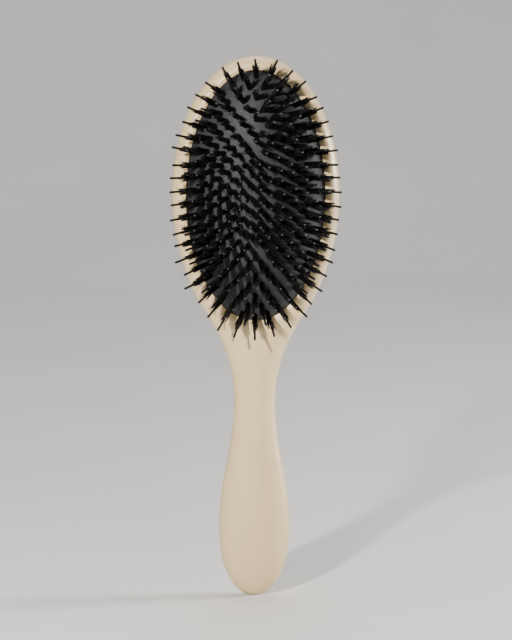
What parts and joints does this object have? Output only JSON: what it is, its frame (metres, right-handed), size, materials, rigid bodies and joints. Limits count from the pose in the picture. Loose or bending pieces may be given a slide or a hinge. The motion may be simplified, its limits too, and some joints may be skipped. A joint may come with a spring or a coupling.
{
  "type": "cushion hairbrush",
  "caption": "Oval pneumatic cushion hairbrush: long rounded handle, sprung rubber cushion, and concentric rings of short bristle bundles each with one longer nylon pin.",
  "frame": {"origin": "butt end of the handle, on the handle's axis in the parting plane of the two mouldings", "axes": "+Z from the butt to the top of the head, tufts point along -Y, +X across the head"},
  "size_m": [0.0732, 0.047, 0.2354],
  "materials": {
    "body_cream": "soft-touch satin",
    "cushion_rubber": "matte, fine grain",
    "frame_plastic": "matte",
    "bristle": "dark bristle, slight sheen",
    "pin_nylon": "satin nylon",
    "anchor_plastic": "matte"
  },
  "bodies": {
    "brush_body": {"front_shell": "body_cream", "back_shell": "body_cream", "rubber_cushion": "cushion_rubber", "cushion_frame": "frame_plastic"},
    "tuft_ring_1": {"bristles_ring_1": "bristle", "pins_ring_1": "pin_nylon", "anchors_ring_1": "anchor_plastic"},
    "tuft_ring_2": {"bristles_ring_2": "bristle", "pins_ring_2": "pin_nylon", "anchors_ring_2": "anchor_plastic"},
    "tuft_ring_3": {"bristles_ring_3": "bristle", "pins_ring_3": "pin_nylon", "anchors_ring_3": "anchor_plastic"},
    "tuft_ring_4": {"bristles_ring_4": "bristle", "pins_ring_4": "pin_nylon", "anchors_ring_4": "anchor_plastic"},
    "tuft_ring_5": {"bristles_ring_5": "bristle", "pins_ring_5": "pin_nylon", "anchors_ring_5": "anchor_plastic"},
    "tuft_ring_6": {"bristles_ring_6": "bristle", "pins_ring_6": "pin_nylon", "anchors_ring_6": "anchor_plastic"},
    "tuft_ring_7": {"bristles_ring_7": "bristle", "pins_ring_7": "pin_nylon", "anchors_ring_7": "anchor_plastic"},
    "tuft_ring_8": {"bristles_ring_8": "bristle", "pins_ring_8": "pin_nylon", "anchors_ring_8": "anchor_plastic"}
  },
  "joints": [
    {"name": "cushion_press", "type": "slide", "parent": "brush_body", "child": "tuft_ring_8", "axis": [0, 1, 0], "range_m": [0, 0.005], "stiffness_N_per_m": 2500, "deforming": ["rubber_cushion"]},
    {"name": "ring_7_press", "type": "slide", "parent": "brush_body", "child": "tuft_ring_7", "axis": [0, 1, 0], "range_m": [0, 0.00505]},
    {"name": "ring_6_press", "type": "slide", "parent": "brush_body", "child": "tuft_ring_6", "axis": [0, 1, 0], "range_m": [0, 0.00501]},
    {"name": "ring_5_press", "type": "slide", "parent": "brush_body", "child": "tuft_ring_5", "axis": [0, 1, 0], "range_m": [0, 0.00486]},
    {"name": "ring_4_press", "type": "slide", "parent": "brush_body", "child": "tuft_ring_4", "axis": [0, 1, 0], "range_m": [0, 0.00448]},
    {"name": "ring_3_press", "type": "slide", "parent": "brush_body", "child": "tuft_ring_3", "axis": [0, 1, 0], "range_m": [0, 0.00372]},
    {"name": "ring_2_press", "type": "slide", "parent": "brush_body", "child": "tuft_ring_2", "axis": [0, 1, 0], "range_m": [0, 0.00252]},
    {"name": "ring_1_press", "type": "slide", "parent": "brush_body", "child": "tuft_ring_1", "axis": [0, 1, 0], "range_m": [0, 0.00108]}
  ],
  "couplings": [
    {"joint": "ring_7_press", "follows": "cushion_press", "ratio": 0.9992},
    {"joint": "ring_6_press", "follows": "cushion_press", "ratio": 0.9919},
    {"joint": "ring_5_press", "follows": "cushion_press", "ratio": 0.9625},
    {"joint": "ring_4_press", "follows": "cushion_press", "ratio": 0.8857},
    {"joint": "ring_3_press", "follows": "cushion_press", "ratio": 0.7336},
    {"joint": "ring_2_press", "follows": "cushion_press", "ratio": 0.4947},
    {"joint": "ring_1_press", "follows": "cushion_press", "ratio": 0.2065}
  ]
}
